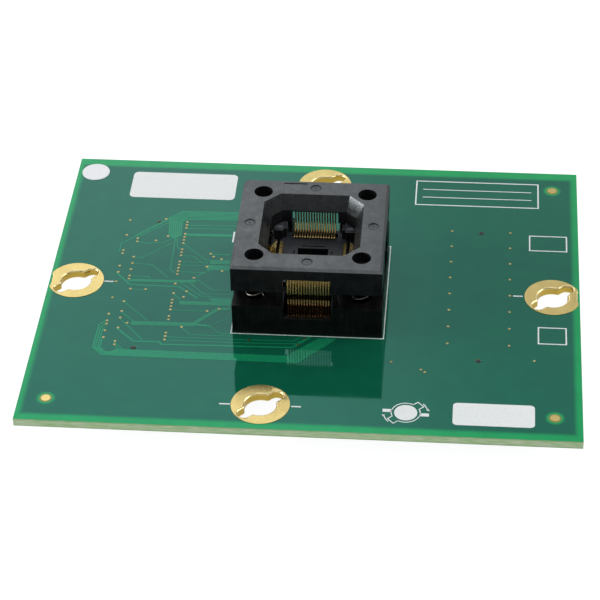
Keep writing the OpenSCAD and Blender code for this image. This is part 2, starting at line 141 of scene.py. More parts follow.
def newGroup(name, inputs, outputs):
    tree = bpy.data.node_groups.new(name, "ShaderNodeTree")
    for label, kind, value in inputs:
        socket = tree.interface.new_socket(label, in_out="INPUT", socket_type="NodeSocket" + kind)
        socket.default_value = value
    for label, kind in outputs:
        tree.interface.new_socket(label, in_out="OUTPUT", socket_type="NodeSocket" + kind)
    return tree, tree.nodes.new("NodeGroupInput").outputs, tree.nodes.new("NodeGroupOutput").inputs


def useGroup(tree, group, values):
    return newNode(tree, "ShaderNodeGroup", {"node_tree": group}, values).outputs


def newMaterial(name, values):
    material = bpy.data.materials.new(name)
    material.use_nodes = True
    tree = material.node_tree
    shader = tree.nodes["Principled BSDF"]
    for label, value in values.items():
        shader.inputs[label].default_value = value
    return material, tree, shader.inputs


def levelness(tree):  # 1 on level faces, 0 on upright ones
    normal = newNode(tree, "ShaderNodeNewGeometry").outputs["Normal"]
    return calc(tree, "ABSOLUTE", axes(tree, normal)[2])


def bump(tree, shader, height, strength, distance):
    values = {"Height": height, "Strength": strength, "Distance": distance}
    tree.links.new(newNode(tree, "ShaderNodeBump", None, values).outputs["Normal"], shader["Normal"])


# Camera where the photograph was taken from
cameraSpec = {"place": (28.158, -337.128, 272.405), "turn": (51.564, 0.873, 4.491), "lens": 137.2,
              "film": 36.0, "near": 10}


def placeCamera(spec):
    data = bpy.data.cameras.new("photoCamera")
    data.lens = spec["lens"]
    data.sensor_width = spec["film"]
    data.clip_start = spec["near"] * mm
    camera = bpy.data.objects.new("photoCamera", data)
    camera.location = [part * mm for part in spec["place"]]
    camera.rotation_euler = [math.radians(angle) for angle in spec["turn"]]
    scene.collection.objects.link(camera)
    scene.camera = camera


# Soft boxes round the table: turn from the back towards the right, rise above it, sizes in metres
roomSpec = {"sky": (0.97, 0.98, 1.0, 1), "skyStrength": 0.12, "away": 0.9}
softBoxes = {
    "backLeftBox": {"turn": -29, "rise": 42, "size": (0.85, 0.7), "watts": 1.34, "fade": 0.2},
    "backBox": {"turn": 6, "rise": 42, "size": (1.8, 0.7), "watts": 2.95, "fade": 0.1},
    "topBox": {"turn": 180, "rise": 76, "size": (0.8, 0.8), "watts": 1.6, "fade": 0.1},
    "leftBox": {"turn": -97, "rise": 13.5, "size": (0.6, 0.42), "watts": 8.5, "fade": 0.1},
    "frontBox": {"turn": 176, "rise": 46, "size": (0.6, 0.55), "watts": 1.0, "fade": 0.1},
    "rightBox": {"turn": 82, "rise": 32, "size": (0.5, 0.35), "watts": 4.6, "fade": 0.1},
}


def hangSoftBox(name, spec, distance):
    turn = math.radians(spec["turn"])
    rise = math.radians(spec["rise"])
    flat = math.cos(rise)
    away = Vector((math.sin(turn) * flat, math.cos(turn) * flat, math.sin(rise)))
    data = bpy.data.lights.new(name, "AREA")
    data.shape = "RECTANGLE"
    data.size, data.size_y = spec["size"]
    data.energy = spec["watts"]
    data.use_nodes = True
    tree = data.node_tree
    spot = newNode(tree, "ShaderNodeNewGeometry").outputs["Parametric"]
    split = axes(tree, spot)
    sides = []
    for axis in (0, 1):  # the cloth darkens towards its edges
        off = calc(tree, "ABSOLUTE", calc(tree, "SUBTRACT", split[axis], 0.5))
        sides.append(ease(tree, off, 0.5, 0.5 - spec["fade"]))
    strength = times(tree, sides[0], sides[1])
    feed(tree, tree.nodes["Emission"].inputs["Strength"], strength)
    box = bpy.data.objects.new(name, data)
    box.location = away * distance
    box.rotation_euler = away.to_track_quat("Z", "Y").to_euler()
    scene.collection.objects.link(box)


def lightRoom(spec):
    world = bpy.data.worlds.new("studio")
    world.use_nodes = True
    sky = world.node_tree.nodes["Background"]
    sky.inputs["Color"].default_value = spec["sky"]
    sky.inputs["Strength"].default_value = spec["skyStrength"]
    scene.world = world
    for name, box in softBoxes.items():
        hangSoftBox(name, box, spec["away"])
    scene.view_settings.view_transform = "Standard"


placeCamera(cameraSpec)
lightRoom(roomSpec)
print("camera and lights placed")


# Grain of a glass-filled moulding: fine flecks over slow clouds, and patches that are duller
grainSpec = {"clouds": 420, "cloudShare": 0.35, "fleckStart": 0.54, "fleckFull": 0.72, "rough": (0.30, 0.42),
             "patches": 900, "patchRough": 0.08}


def grainGroup(spec):
    inputs = [("Colour", "Color", (0.02, 0.02, 0.02, 1)), ("Fleck", "Color", (0.1, 0.1, 0.1, 1)),
              ("Scale", "Float", 5000.0), ("Amount", "Float", 0.5)]
    group, given, put = newGroup("mouldedGrain", inputs,
                                 [("Colour", "Color"), ("Roughness", "Float"), ("Height", "Float")])
    place = objectPlace(group)
    fine = noise(group, place, given["Scale"], 3)
    clouds = noise(group, place, spec["clouds"], 2)
    flecks = ease(group, fine, spec["fleckStart"], spec["fleckFull"])
    amount = times(group, flecks, given["Amount"])
    cloudy = spread(group, clouds, 0.0, spec["cloudShare"])
    shade = mixColour(group, cloudy, given["Colour"], given["Fleck"])
    feed(group, put["Colour"], mixColour(group, amount, shade, given["Fleck"]))
    patches = noise(group, place, spec["patches"], 3)
    patches = spread(group, patches, -spec["patchRough"], spec["patchRough"])
    feed(group, put["Roughness"], calc(group, "ADD", spread(group, fine, *spec["rough"]), patches))
    feed(group, put["Height"], fine)
    return group


# Marks of handling: soft smears and hair scratches in two directions
scratchSpec = {"turns": (0.4, 1.9), "stretch": (6000, 160, 160), "start": 0.66, "full": 0.74}


def handlingGroup(spec):
    group, given, put = newGroup("handlingMarks", [("Scale", "Float", 300.0), ("Scratches", "Float", 0.5)],
                                 [("Smear", "Float"), ("Scratch", "Float")])
    place = objectPlace(group)
    feed(group, put["Smear"], spread(group, noise(group, place, given["Scale"], 3), 0.0, 1.0))
    hairs = []
    for turn in spec["turns"]:
        along = stretched(group, place, spec["stretch"], (0, 0, turn))
        hairs.append(ease(group, noise(group, along, 1.0, 1), spec["start"], spec["full"]))
    both = calc(group, "MAXIMUM", hairs[0], hairs[1])
    feed(group, put["Scratch"], times(group, both, given["Scratches"]))
    return group


# Rubbed edges of mouldings, on the faces that carry the rim attribute
rubSpec = {"patches": 900, "least": 0.35}


def rimGroup(spec):
    group, given, put = newGroup("rubbedRim", [("Amount", "Float", 0.6)], [("Mask", "Float")])
    rim = newNode(group, "ShaderNodeAttribute", {"attribute_name": "rim"}).outputs["Fac"]
    patchy = spread(group, noise(group, objectPlace(group), spec["patches"], 3), spec["least"], 1.0)
    strong = times(group, rim, patchy)
    feed(group, put["Mask"], times(group, strong, given["Amount"]))
    return group


grain = grainGroup(grainSpec)
handling = handlingGroup(scratchSpec)
rubbed = rimGroup(rubSpec)


def handled(tree, spec):
    return useGroup(tree, handling, {"Scale": spec["smears"], "Scratches": spec["scratches"]})


# Solder mask over copper, bare laminate round the border and at the alignment pads, sawn glass-epoxy edges
maskSpec = {
    "pourMiddle": (-0.12, -0.3), "pourHalf": (48.9, 38.1), "softEdge": 1.2,
    "halos": [(45.1, 34.1), (45.1, -34.1), (-45.1, -34.1)], "haloReach": (1.1, 1.95),
    "openReach": (0.8, 1.35), "open": (0.30, 0.22, 0.03, 1),
    "pour": (0.004, 0.105, 0.056, 1), "bare": (0.004, 0.335, 0.08, 1), "sheen": (0.19, 0.98, 0.92, 1),
    "fibreDark": (0.43, 0.76, 0.28, 1), "fibrePale": (0.92, 0.97, 0.74, 1), "weave": 0.62,
    "resin": (0.14, 0.38, 0.09, 1), "resinReach": (0.4, 0.8), "resinShare": 0.45,
    "clouds": 260, "cloudShare": 0.16, "cloud": (0.0, 0.03, 0.02, 1),
    "glint": (0.2, 0.75, 0.4, 1), "glintStart": 0.2, "glintShare": 0.12, "fibreStretch": (380, 380, 5200),
    "smears": 180.0, "scratches": 0.2, "gloss": (0.03, 0.07), "scratchRough": 0.1, "edgeRough": 0.62,
    "ripple": 700, "weaveHeight": 0.12, "bump": 0.04, "bumpDepth": 0.04,
}


def padZone(tree, place, spec, reach):  # soft rounds about the alignment pads
    near, far = (radius * mm for radius in spec[reach])
    zone = 0.0
    for x, y in spec["halos"]:
        centre = (x * mm, y * mm, cardTop)
        zone = calc(tree, "MAXIMUM", zone, ease(tree, gapTo(tree, place, centre), far, near))
    return zone


def clearZone(tree, place, spec):
    split = axes(tree, place)
    past = []
    for axis in (0, 1):
        off = calc(tree, "SUBTRACT", split[axis], spec["pourMiddle"][axis] * mm)
        past.append(calc(tree, "SUBTRACT", calc(tree, "ABSOLUTE", off), spec["pourHalf"][axis] * mm))
    outside = calc(tree, "MAXIMUM", past[0], past[1])
    clear = ease(tree, outside, -spec["softEdge"] * mm / 2, spec["softEdge"] * mm / 2)
    return calc(tree, "MAXIMUM", clear, padZone(tree, place, spec, "haloReach"))


def maskMaterial(spec):
    material, tree, shader = newMaterial("solderMask", {"IOR": 1.52, "Specular Tint": spec["sheen"]})
    place = objectPlace(tree)
    clear = clearZone(tree, place, spec)
    mask = mixColour(tree, clear, spec["pour"], spec["bare"])
    split = axes(tree, place)
    threads = [calc(tree, "SINE", times(tree, split[axis], math.tau / (spec["weave"] * mm)))
               for axis in (0, 1)]
    weave = times(tree, threads[0], threads[1])
    clouds = spread(tree, noise(tree, place, spec["clouds"], 3), 0.0, spec["cloudShare"])
    mask = mixColour(tree, clouds, mask, spec["cloud"])
    share = times(tree, clear, spec["glintShare"])
    glint = times(tree, ease(tree, weave, spec["glintStart"], 1.0), share)
    mask = mixColour(tree, glint, mask, spec["glint"])
    mask = mixColour(tree, padZone(tree, place, spec, "openReach"), mask, spec["open"])
    fibres = noise(tree, stretched(tree, place, spec["fibreStretch"]), 1.0, 5)
    edge = mixColour(tree, spread(tree, fibres, 0.0, 1.0), spec["fibreDark"], spec["fibrePale"])
    level = calc(tree, "SUBTRACT", split[2], (cardTop + cardUnder) / 2)
    near, far = (reach * mm for reach in spec["resinReach"])
    resin = ease(tree, calc(tree, "ABSOLUTE", level), near, far, 0.0, spec["resinShare"])
    edge = mixColour(tree, resin, edge, spec["resin"])
    flat = calc(tree, "GREATER_THAN", levelness(tree), 0.5)
    feed(tree, shader["Base Color"], mixColour(tree, flat, edge, mask))
    marks = handled(tree, spec)
    gloss = ease(tree, marks["Smear"], 0.0, 1.0, *spec["gloss"])
    gloss = calc(tree, "ADD", gloss, times(tree, marks["Scratch"], spec["scratchRough"]))
    values = {0: flat, 2: spec["edgeRough"], 3: gloss}
    rough = newNode(tree, "ShaderNodeMix", {"data_type": "FLOAT"}, values).outputs[0]
    feed(tree, shader["Roughness"], rough)
    threadHeight = times(tree, weave, spec["weaveHeight"])
    ripple = calc(tree, "ADD", noise(tree, place, spec["ripple"], 1), threadHeight)
    bump(tree, shader, ripple, spec["bump"], spec["bumpDepth"] * mm)
    return material


# The same lacquer over gaps in the copper, where the laminate shows lighter
traceSpec = {"tone": (0.006, 0.205, 0.09, 1), "light": (0.012, 0.28, 0.115, 1), "sheen": maskSpec["sheen"],
             "mottle": 1400, "mottleShare": 0.6, "gloss": (0.04, 0.08), "ripple": 2500, "bump": 0.06,
             "bumpDepth": 0.02}


def traceMaterial(spec):
    material, tree, shader = newMaterial("laminateLines", {"IOR": 1.52, "Specular Tint": spec["sheen"]})
    place = objectPlace(tree)
    mottle = spread(tree, noise(tree, place, spec["mottle"], 3), 0.0, spec["mottleShare"])
    feed(tree, shader["Base Color"], mixColour(tree, mottle, spec["tone"], spec["light"]))
    marks = handled(tree, maskSpec)
    feed(tree, shader["Roughness"], ease(tree, marks["Smear"], 0.0, 1.0, *spec["gloss"]))
    bump(tree, shader, noise(tree, place, spec["ripple"], 2), spec["bump"], spec["bumpDepth"] * mm)
    return material


# Metals: tone, tarnish, roughness, grain and bump, a darker wall of a hole (painted shade), bare root under
# the plating (its copper tone, made brighter as painted light)
metalSpecs = {
    "ringGold": {"tone": (0.62, 0.50, 0.20, 1), "dull": (0.46, 0.35, 0.13, 1), "rough": (0.14, 0.26),
                 "grain": 7000, "bump": 0.3, "wall": (0.60, 0.42, 0.08, 1)},
    # a brighter gold for the lip of each lock ring: painted highlight
    "ringLipHighlight": {"tone": (1.0, 0.86, 0.46, 1), "dull": (0.94, 0.76, 0.36, 1), "rough": (0.28, 0.4),
                "grain": 7000, "bump": 0.1},
    "viaGold": {"tone": (0.52, 0.44, 0.20, 1), "dull": (0.36, 0.28, 0.12, 1), "rough": (0.34, 0.5),
                "grain": 5200, "bump": 0.1},
    "leafGold": {"tone": (0.48, 0.38, 0.16, 1), "dull": (0.32, 0.20, 0.06, 1), "rough": (0.24, 0.36),
                 "grain": 1800, "bump": 0.03},
    "springSteel": {"tone": (0.30, 0.28, 0.25, 1), "dull": (0.16, 0.15, 0.13, 1), "rough": (0.28, 0.42),
                    "grain": 4000, "bump": 0.05},
    "solderTin": {"tone": (0.74, 0.75, 0.77, 1), "dull": (0.48, 0.49, 0.50, 1), "rough": (0.22, 0.48),
                  "grain": 2600, "bump": 0.14},
}
# The contacts' root is their bare copper alloy, made brighter than the gold as painted light on the shaded
# stems
metalSpecs["contactGold"] = dict(metalSpecs["leafGold"], root=(1.0, 0.62, 0.30, 1), plated=(3.9, 4.5))
metalWear = {"smears": 420.0, "scratches": 0.6, "scratchRough": 0.12, "worn": (0.2, 0.8),
             "upright": (0.35, 0.1), "bumpDepth": 0.02}


def metalMaterial(name, spec, wear):
    material, tree, shader = newMaterial(name, {"Metallic": 1.0})
    place = objectPlace(tree)
    fine = noise(tree, place, spec["grain"], 3)
    marks = handled(tree, wear)
    worn = times(tree, marks["Smear"], spread(tree, fine, *wear["worn"]))
    tone = mixColour(tree, worn, spec["tone"], spec["dull"])
    if "wall" in spec:  # painted shade: the hole's wall takes a darker, browner gold
        upright = ease(tree, levelness(tree), *wear["upright"])
        tone = mixColour(tree, upright, tone, spec["wall"])
    if "root" in spec:  # bare copper alloy below the plating, made brighter than the gold: partly painted light on the shaded stems
        bareUnder, platedOver = (cardTop + up * mm for up in spec["plated"])
        bare = ease(tree, axes(tree, place)[2], platedOver, bareUnder)
        tone = mixColour(tree, bare, tone, spec["root"])
    feed(tree, shader["Base Color"], tone)
    rough = ease(tree, fine, noiseLow, noiseHigh, *spec["rough"])
    scored = times(tree, marks["Scratch"], wear["scratchRough"])
    feed(tree, shader["Roughness"], calc(tree, "ADD", rough, scored))
    bump(tree, shader, fine, spec["bump"], wear["bumpDepth"] * mm)
    return material


# Mouldings: base tone, flecks with their scale and amount, sheen, roughness shift and rubbed edges
# The looks whose names end in Side are darker, less glossy copies of the others, for upright faces: painted
# shade
plasticSpecs = {
    "coverPlastic": {"tone": (0.005, 0.005, 0.006, 1), "fleck": (0.034, 0.035, 0.04, 1), "scale": 5200,
                     "amount": 0.5, "sheen": 0.94, "shift": -0.07, "rim": 0.55},
    # a darker copy for the cover's upright faces: painted shade
    "coverShadedSide": {"tone": (0.004, 0.004, 0.005, 1), "fleck": (0.024, 0.025, 0.028, 1), "scale": 5200,
                  "amount": 0.5, "sheen": 0.1, "shift": -0.05, "rim": 0.4},
    "basePlastic": {"tone": (0.002, 0.002, 0.002, 1), "fleck": (0.013, 0.013, 0.014, 1), "scale": 5200,
                    "amount": 0.4, "sheen": 0.12, "shift": -0.02, "rim": 0.08},
    "seatPlastic": {"tone": (0.02, 0.021, 0.027, 1), "fleck": (0.06, 0.066, 0.08, 1), "scale": 6000,
                    "amount": 0.45, "sheen": 0.65, "shift": 0.02, "rim": 0.4},
    # a darker copy for the seat's upright faces: painted shade
    "seatShadedSide": {"tone": (0.004, 0.004, 0.005, 1), "fleck": (0.016, 0.017, 0.02, 1), "scale": 6000,
                 "amount": 0.45, "sheen": 0.1, "shift": 0.02, "rim": 0.3},
    "connectorPlastic": {"tone": (0.008, 0.008, 0.009, 1), "fleck": (0.04, 0.04, 0.04, 1), "scale": 4200,
                         "amount": 0.4, "sheen": 0.42, "shift": 0.0, "rim": 0.3},
}
# What all mouldings share: cool gloss of the filled resin, wear and bump
plasticWear = {"tint": (0.87, 0.96, 1.0, 1), "smears": 240.0, "scratches": 0.35, "scratchShare": 0.3,
               "rubShare": 0.55, "rubbed": (0.12, 0.125, 0.13, 1), "smearRough": 0.08, "bump": 0.26,
               "bumpDepth": 0.03}
# Round marks of the mould's ejector pins on the cover's top
pinSpec = {"spots": [(11.4, 0.0), (0.0, 11.4), (-11.4, 0.0), (0.0, -11.4)], "radius": 0.95, "soft": 0.2,
           "dot": 0.3, "discShare": 0.6, "discRough": 0.14, "edgeRough": 0.4, "edgeDepth": 1.6}


def pinMarks(tree, place, spec):
    split = axes(tree, place)
    flat = newNode(tree, "ShaderNodeCombineXYZ", None, {"X": split[0], "Y": split[1]}).outputs[0]
    gaps = [gapTo(tree, flat, (x * mm, y * mm, 0)) for x, y in spec["spots"]]
    nearest = gaps[0]
    for gap in gaps[1:]:
        nearest = calc(tree, "MINIMUM", nearest, gap)
    rim = spec["radius"] * mm
    inner, outer = rim - spec["soft"] * mm, rim + spec["soft"] * mm
    disc = ease(tree, nearest, rim, inner)
    dot = ease(tree, nearest, spec["dot"] * mm, 0.0)
    edge = times(tree, ease(tree, nearest, inner, rim), ease(tree, nearest, outer, rim))
    return times(tree, disc, spec["discShare"]), calc(tree, "MAXIMUM", edge, dot)


def plasticMaterial(name, spec, wear):
    material, tree, shader = newMaterial(name, {"IOR": 1.55, "Specular IOR Level": spec["sheen"],
                                                "Specular Tint": wear["tint"]})
    skin = useGroup(tree, grain, {"Colour": spec["tone"], "Fleck": spec["fleck"], "Scale": spec["scale"],
                                  "Amount": spec["amount"]})
    rim = useGroup(tree, rubbed, {"Amount": spec["rim"]})["Mask"]
    marks = handled(tree, wear)
    scratch = times(tree, marks["Scratch"], wear["scratchShare"])
    paled = calc(tree, "MAXIMUM", times(tree, rim, wear["rubShare"]), scratch)
    feed(tree, shader["Base Color"], mixColour(tree, paled, skin["Colour"], wear["rubbed"]))
    smeared = times(tree, marks["Smear"], wear["smearRough"])
    rough = calc(tree, "ADD", skin["Roughness"], smeared)
    rough = calc(tree, "ADD", rough, spec["shift"])
    height = skin["Height"]
    if name == "coverPlastic":
        disc, edge = pinMarks(tree, objectPlace(tree), pinSpec)
        dull = calc(tree, "ADD", times(tree, disc, pinSpec["discRough"]),
                    times(tree, edge, pinSpec["edgeRough"]))
        rough = calc(tree, "ADD", rough, dull)
        height = calc(tree, "SUBTRACT", height, times(tree, edge, pinSpec["edgeDepth"]))
    feed(tree, shader["Roughness"], rough)
    bump(tree, shader, height, wear["bump"], wear["bumpDepth"] * mm)
    return material


# Whites: the sticker's paper and the print's ink
whiteSpecs = {
    "sticker": {"name": "stickerPaper", "tone": (0.91, 0.93, 0.96, 1), "dull": (0.82, 0.84, 0.87, 1),
                "scale": 3000},
    "ink": {"name": "whiteInk", "tone": (0.88, 0.91, 0.91, 1), "dull": (0.72, 0.77, 0.76, 1), "scale": 5200},
}
whiteSkin = {"dullShare": 0.8, "rough": (0.45, 0.62), "bump": 0.15, "bumpDepth": 0.02}


def whiteMaterial(spec, skin):
    material, tree, shader = newMaterial(spec["name"], {"IOR": 1.45})
    pulp = noise(tree, objectPlace(tree), spec["scale"], 4)
    dulled = spread(tree, pulp, 0.0, skin["dullShare"])
    feed(tree, shader["Base Color"], mixColour(tree, dulled, spec["tone"], spec["dull"]))
    feed(tree, shader["Roughness"], spread(tree, pulp, *skin["rough"]))
    bump(tree, shader, pulp, skin["bump"], skin["bumpDepth"] * mm)
    return material


# Dark wells of the plated holes: painted shadow, mottled
wellSpec = {"tone": (0.006, 0.008, 0.006, 1), "light": (0.02, 0.018, 0.01, 1), "scale": 4000,
            "rough": (0.5, 0.8)}


def darkMaterial(spec):
    material, tree, shader = newMaterial("holeShadow", {"IOR": 1.4})
    shadowMottle = noise(tree, objectPlace(tree), spec["scale"], 2)
    feed(tree, shader["Base Color"], mixColour(tree, shadowMottle, spec["tone"], spec["light"]))
    feed(tree, shader["Roughness"], spread(tree, shadowMottle, *spec["rough"]))
    return material


looks = {"mask": maskMaterial(maskSpec), "trace": traceMaterial(traceSpec), "dark": darkMaterial(wellSpec)}
for lookName, lookSpec in metalSpecs.items():
    looks[lookName] = metalMaterial(lookName, lookSpec, metalWear)
for lookName, lookSpec in plasticSpecs.items():
    looks[lookName] = plasticMaterial(lookName, lookSpec, plasticWear)
for lookName, lookSpec in whiteSpecs.items():
    looks[lookName] = whiteMaterial(lookSpec, whiteSkin)
print("materials made:", len(looks))


# Short forms for meshes
def newPiece(name, bm, lookNames, smooth=40):
    mesh = bpy.data.meshes.new(name)
    bmesh.ops.recalc_face_normals(bm, faces=bm.faces)
    bm.to_mesh(mesh)
    bm.free()
    for lookName in lookNames:
        mesh.materials.append(looks[lookName])
    mesh.polygons.foreach_set("use_smooth", [True] * len(mesh.polygons))
    mesh.set_sharp_from_angle(angle=math.radians(smooth))
    piece = bpy.data.objects.new(name, mesh)
    scene.collection.objects.link(piece)
    return piece


def carried(piece, body):
    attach(piece, body)
    return piece


def kept(geom, kind):
    return [part for part in geom if isinstance(part, kind)]


def pushFaces(bm, faces, way):
    geom = bmesh.ops.extrude_face_region(bm, geom=faces)["geom"]
    bmesh.ops.translate(bm, verts=kept(geom, bmesh.types.BMVert), vec=way)
    return kept(geom, bmesh.types.BMFace)


def raiseFaces(bm, faces, height):
    return pushFaces(bm, faces, (0, 0, height))


def raiseEdges(bm, edges, height):
    geom = bmesh.ops.extrude_edge_only(bm, edges=edges)["geom"]
    bmesh.ops.translate(bm, verts=kept(geom, bmesh.types.BMVert), vec=(0, 0, height))
    return kept(geom, bmesh.types.BMFace)


def sharpEdges(bm, angle):
    return [edge for edge in bm.edges
            if len(edge.link_faces) == 2 and edge.calc_face_angle() > math.radians(angle)]


def roundEdges(bm, edges, offset, segments, clamp=False):
    made = bmesh.ops.bevel(bm, geom=edges, offset=offset * mm, segments=segments, profile=0.5, material=-1,
                           affect="EDGES", clamp_overlap=clamp)
    return made["faces"]


def boxRoute(low, high):
    return [(low[0], low[1]), (high[0], low[1]), (high[0], high[1]), (low[0], high[1])]


# Strip of even width along a route in millimetres, standing on a face of the card
def addStrip(bm, route, width, base, height, closed=False):
    verts = [bm.verts.new((x * mm, y * mm, base)) for x, y in route]
    pairs = list(zip(verts, verts[1:]))
    if closed:
        pairs.append((verts[-1], verts[0]))
    edges = [bm.edges.new(pair) for pair in pairs]
    bmesh.ops.solidify(bm, geom=raiseEdges(bm, edges, height), thickness=width * mm)


def addDisc(bm, x, y, radius, base, height, segments=40):
    at = Matrix.Translation((x * mm, y * mm, base))
    made = bmesh.ops.create_circle(bm, cap_ends=True, radius=radius * mm, segments=segments, matrix=at)
    return raiseFaces(bm, made["verts"][0].link_faces[:], height)


def addPanel(bm, low, high, corner, base, height, rounds=5):
    verts = [bm.verts.new((x * mm, y * mm, base)) for x, y in boxRoute(low, high)]
    bm.faces.new(verts)
    made = bmesh.ops.bevel(bm, geom=verts, offset=corner * mm, segments=rounds, profile=0.5, material=-1,
                           affect="VERTICES")
    raiseFaces(bm, made["verts"][0].link_faces[:], height)


def arcRoute(x, y, radius, start, end, steps):
    angles = [math.radians(start + (end - start) * step / steps) for step in range(steps + 1)]
    return [(x + radius * math.cos(angle), y + radius * math.sin(angle)) for angle in angles]


def rowSpots(spec):  # even places on both sides of the middle
    return [(index - (spec["count"] - 1) / 2) * spec["pitch"] for index in range(spec["count"])]


def evenNormals(piece):
    flatten = piece.modifiers.new("evenNormals", "WEIGHTED_NORMAL")
    flatten.keep_sharp = True


# Sides of the socket, as turns from the right one
sideTurns = {"right": 0, "back": 90, "left": 180, "front": 270}
# Plain carried-over nodes get their finish
nodeLooks = {
    "mask": ["circuit_board"],
    "ringGold": ["alignment_pads"],
    "sticker": ["inspection_sticker"],
    "solderTin": ["solder_joints_" + side for side in sideTurns],
    "leafGold": ["connector_contacts_" + row
                 for row in ("left_outer", "left_inner", "right_inner", "right_outer")],
}
for lookName, names in nodeLooks.items():
    for nodeName in names:
        for materialSlot in nodes[nodeName].material_slots:
            materialSlot.material = looks[lookName]
print("carried-over nodes dressed")


# Plated lock rings: the plating runs round the edge of the hole into its wall
ringSpec = {"middles": {"left": (-44.95, 0.0), "right": (44.95, 0.0), "back": (0.0, 33.55),
                        "front": (-6.8, -33.55)},
            "radius": 5.25, "plate": 0.08, "trim": 49.7, "bore": 2.85, "slotHalf": 1.17, "slotReach": 4.8,
            "slotTurn": 43, "fillet": 0.5, "inner": 4.95, "lip": 0.3, "sides": 96}


def holeRoute(spec):  # round hole with two milled slots
    half, fillet, bore = spec["slotHalf"], spec["fillet"], spec["bore"]
    x, y = math.sqrt((bore + fillet) ** 2 - (half + fillet) ** 2), half + fillet
    lean = math.degrees(math.atan2(y, x))
    side = arcRoute(spec["slotReach"] - half, 0, half, -90, 90, 12)
    side += arcRoute(x, y, fillet, -90, lean - 180, 6)
    side += arcRoute(0, 0, bore, lean, 180 - lean, 24)[1:-1]
    side += arcRoute(-x, y, fillet, -lean, -90, 6)
    whole = side + [(-u, -v) for u, v in side]
    along = math.radians(spec["slotTurn"])
    cos, sin = math.cos(along), math.sin(along)
    return [(u * cos - v * sin, u * sin + v * cos) for u, v in whole]


def addLoop(bm, route, middle, limit, height):
    spots = [(middle[0] + x, middle[1] + y) for x, y in route]
    verts = [bm.verts.new((max(-limit, min(limit, x)) * mm, y * mm, height)) for x, y in spots]
    return [bm.edges.new(pair) for pair in zip(verts, verts[1:] + verts[:1])]


def plateRing(nodeName, middle, spec):
    bm = bmesh.new()
    plate = spec["plate"] * mm
    top, under = cardTop + plate, cardUnder - plate
    hole = addLoop(bm, holeRoute(spec), middle, spec["trim"], top)
    steps = spec["sides"] - 1
    outside = arcRoute(0, 0, spec["radius"], 0, 360 * steps / spec["sides"], steps)
    rim = addLoop(bm, outside, middle, spec["trim"], top)
    bmesh.ops.triangle_fill(bm, use_beauty=True, edges=hole + rim)
    raiseEdges(bm, rim, -plate)
    twin = bmesh.ops.duplicate(bm, geom=bm.verts[:] + bm.edges[:] + bm.faces[:])["geom"]
    for vert in kept(twin, bmesh.types.BMVert):
        vert.co.z = cardTop + cardUnder - vert.co.z
    raiseEdges(bm, hole, under - top)
    bmesh.ops.remove_doubles(bm, verts=bm.verts, dist=weldGap)
    bmesh.ops.recalc_face_normals(bm, faces=bm.faces)
    lip = [edge for edge in sharpEdges(bm, angle=40)
           if (edge.verts[0].co.xy / mm - Vector(middle)).length < spec["inner"]]
    for face in roundEdges(bm, lip, spec["lip"], segments=4):  # painted highlight: the lip takes a brighter, rougher gold
        face.material_index = 1
    piece = newPiece(nodeName + "_plating", bm, ["ringGold", "ringLipHighlight"], smooth=50)
    evenNormals(piece)
    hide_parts(nodeName)
    carried(piece, "card")


for sideName, ringMiddle in ringSpec["middles"].items():
    plateRing("lock_ring_" + sideName, ringMiddle, ringSpec)
print("rings plated")


# Mouldings: the node's own shape with its sharp edges broken
mouldings = {
    "coverShell": {"node": "socket_cover", "body": "cover", "looks": ["coverPlastic", "coverShadedSide"],
                   "slot": "cover_plastic", "edge": 0.1, "crown": 0.28},
    "baseBlock": {"node": "socket_base", "body": "card", "looks": ["basePlastic"],
                  "slot": "socket_plastic", "edge": 0.05},
    "seatInsert": {"node": "device_seat", "body": "card", "looks": ["seatPlastic", "seatShadedSide"],
                   "slot": "seat_plastic", "edge": 0.05},
}
for sideName in ("left", "right"):
    mouldings[sideName + "Housing"] = {"node": "connector_housing_" + sideName, "body": "card",
                                       "looks": ["connectorPlastic"], "slot": "connector_plastic",
                                       "edge": 0.08}
# How edges are found and broken: angles in degrees, and how far each broken edge is rubbed
edgeSpec = {"flat": 0.6, "sharp": 28, "smooth": 75, "upright": 0.3, "nearTop": 0.01, "nearSide": 0.02,
            "crownRub": 0.4, "edgeRub": 1.0}


def onCrown(spot, high, shape):  # on the outer edge of a square piece's top
    reach = max(abs(spot.x), abs(spot.y))
    return spot.z > high.z - shape["nearTop"] * mm and reach > high.x - shape["nearSide"] * mm


def brokenEdges(name, spec, shape):
    bm = bmesh.new()
    bm.from_mesh(nodes[spec["node"]].data)
    bmesh.ops.remove_doubles(bm, verts=bm.verts, dist=weldGap)
    flat = math.radians(shape["flat"])
    bmesh.ops.dissolve_limit(bm, angle_limit=flat, verts=bm.verts, edges=bm.edges)
    rim = bm.faces.layers.float.new("rim")
    sharp = sharpEdges(bm, shape["sharp"])
    if "crown" in spec:
        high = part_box(spec["node"])[1]
        crown = [edge for edge in sharp if all(onCrown(vert.co, high, shape) for vert in edge.verts)]
        for face in roundEdges(bm, crown, spec["crown"], segments=4):
            face[rim] = shape["crownRub"]
        sharp = [edge for edge in sharp if edge.is_valid]
    for face in roundEdges(bm, sharp, spec["edge"], segments=2, clamp=True):
        face[rim] = shape["edgeRub"]
    for face in bm.faces:  # upright faces take the second look, a darker copy: painted shade
        upright = abs(face.normal.z) < shape["upright"]
        face.material_index = int(upright and len(spec["looks"]) > 1)
    piece = newPiece(name, bm, spec["looks"], shape["smooth"])
    evenNormals(piece)
    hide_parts(spec["node"])
    return carried(piece, spec["body"])


for mouldingName, mouldingSpec in mouldings.items():
    moulding = brokenEdges(mouldingName, mouldingSpec, edgeSpec)
    print(mouldingName, "faces:", len(moulding.data.polygons))


# Coil springs between base and cover, wound by turning a ring of wire up in three stretches
springSpec = {"wire": 0.34, "closedTurns": 1.0, "closeRise": 1.1, "openTurns": 3.5, "steps": 28, "sides": 12,
              "stroke": 3.0}


